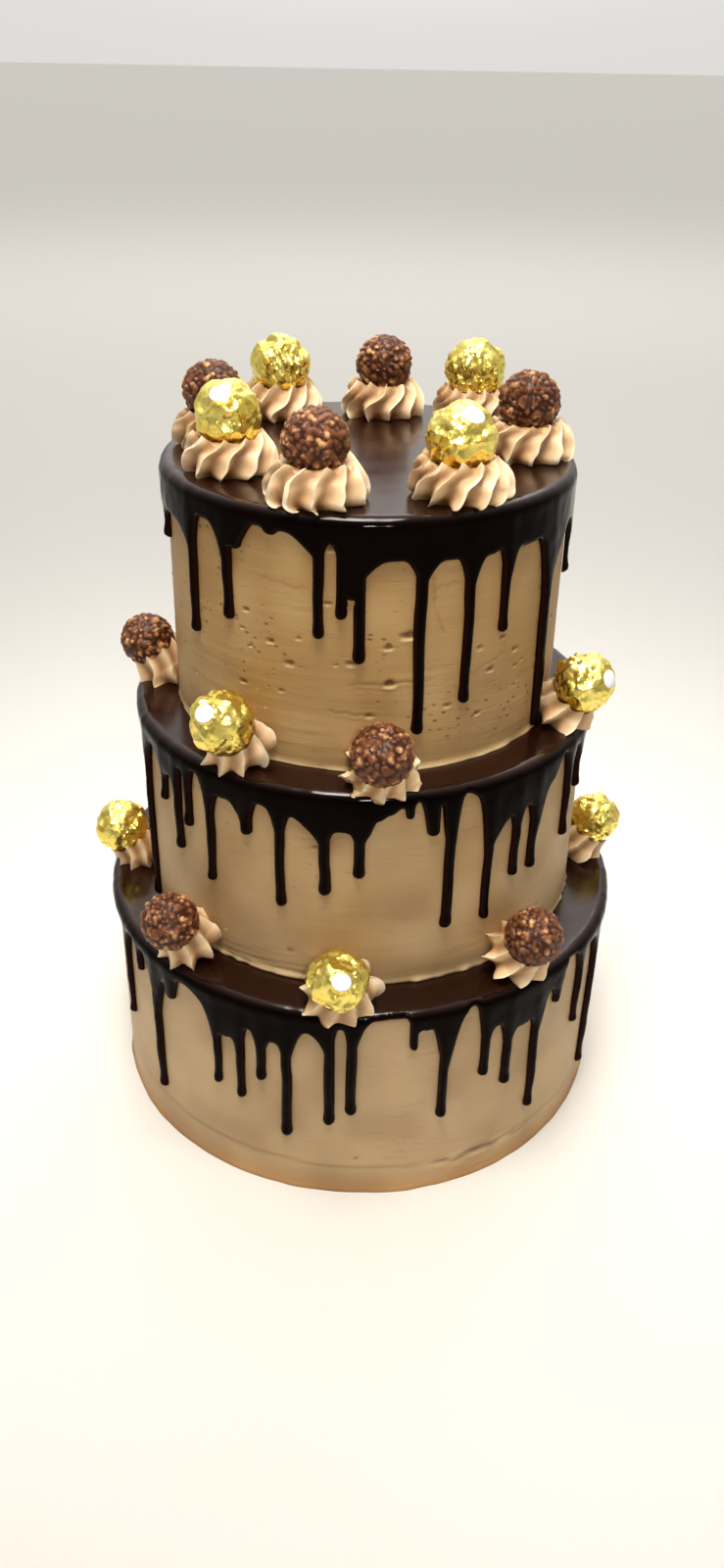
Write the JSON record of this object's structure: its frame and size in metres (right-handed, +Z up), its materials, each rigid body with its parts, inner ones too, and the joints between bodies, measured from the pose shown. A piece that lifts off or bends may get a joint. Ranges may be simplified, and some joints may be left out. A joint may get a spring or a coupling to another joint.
{
  "type": "drip cake",
  "caption": "Tall tiered celebration cake with dark drips, piped swirls and rings of round sweets, free standing on its flat base.",
  "frame": {"origin": "middle of the flat base, on the axis of the tiers", "axes": "+Z up along the axis of the tiers, -Y towards the front of the cake"},
  "size_m": [0.3075, 0.3179, 0.4087],
  "materials": {
    "buttercream": "matte, spread with a spatula",
    "piped_cream": "soft satin",
    "ganache": "wet gloss",
    "gold_foil": "crumpled bright foil",
    "nut_chocolate": "lumpy satin"
  },
  "bodies": {
    "root": {"dollop_bottom_1": "piped_cream", "dollop_bottom_2": "piped_cream", "dollop_bottom_3": "piped_cream", "dollop_bottom_4": "piped_cream", "dollop_bottom_5": "piped_cream", "dollop_bottom_6": "piped_cream", "dollop_bottom_7": "piped_cream", "dollop_bottom_8": "piped_cream", "dollop_middle_1": "piped_cream", "dollop_middle_2": "piped_cream", "dollop_middle_3": "piped_cream", "dollop_middle_4": "piped_cream", "dollop_middle_5": "piped_cream", "dollop_middle_6": "piped_cream", "dollop_middle_7": "piped_cream", "dollop_middle_8": "piped_cream", "foil_ball_bottom_1": "gold_foil", "foil_ball_bottom_3": "gold_foil", "foil_ball_bottom_5": "gold_foil", "foil_ball_bottom_7": "gold_foil", "foil_ball_middle_2": "gold_foil", "foil_ball_middle_4": "gold_foil", "foil_ball_middle_6": "gold_foil", "foil_ball_middle_8": "gold_foil", "foil_ball_top_1": "gold_foil", "foil_ball_top_3": "gold_foil", "foil_ball_top_5": "gold_foil", "foil_ball_top_7": "gold_foil", "ganache_bottom": "ganache", "ganache_middle": "ganache", "ganache_top": "ganache", "nut_ball_bottom_2": "nut_chocolate", "nut_ball_bottom_4": "nut_chocolate", "nut_ball_bottom_6": "nut_chocolate", "nut_ball_bottom_8": "nut_chocolate", "nut_ball_middle_1": "nut_chocolate", "nut_ball_middle_3": "nut_chocolate", "nut_ball_middle_5": "nut_chocolate", "nut_ball_middle_7": "nut_chocolate", "nut_ball_top_2": "nut_chocolate", "nut_ball_top_4": "nut_chocolate", "nut_ball_top_6": "nut_chocolate", "nut_ball_top_8": "nut_chocolate", "rosette_1": "piped_cream", "rosette_2": "piped_cream", "rosette_3": "piped_cream", "rosette_4": "piped_cream", "rosette_5": "piped_cream", "rosette_6": "piped_cream", "rosette_7": "piped_cream", "rosette_8": "piped_cream", "tier_bottom": "buttercream", "tier_middle": "buttercream", "tier_top": "buttercream"}
  },
  "joints": []
}
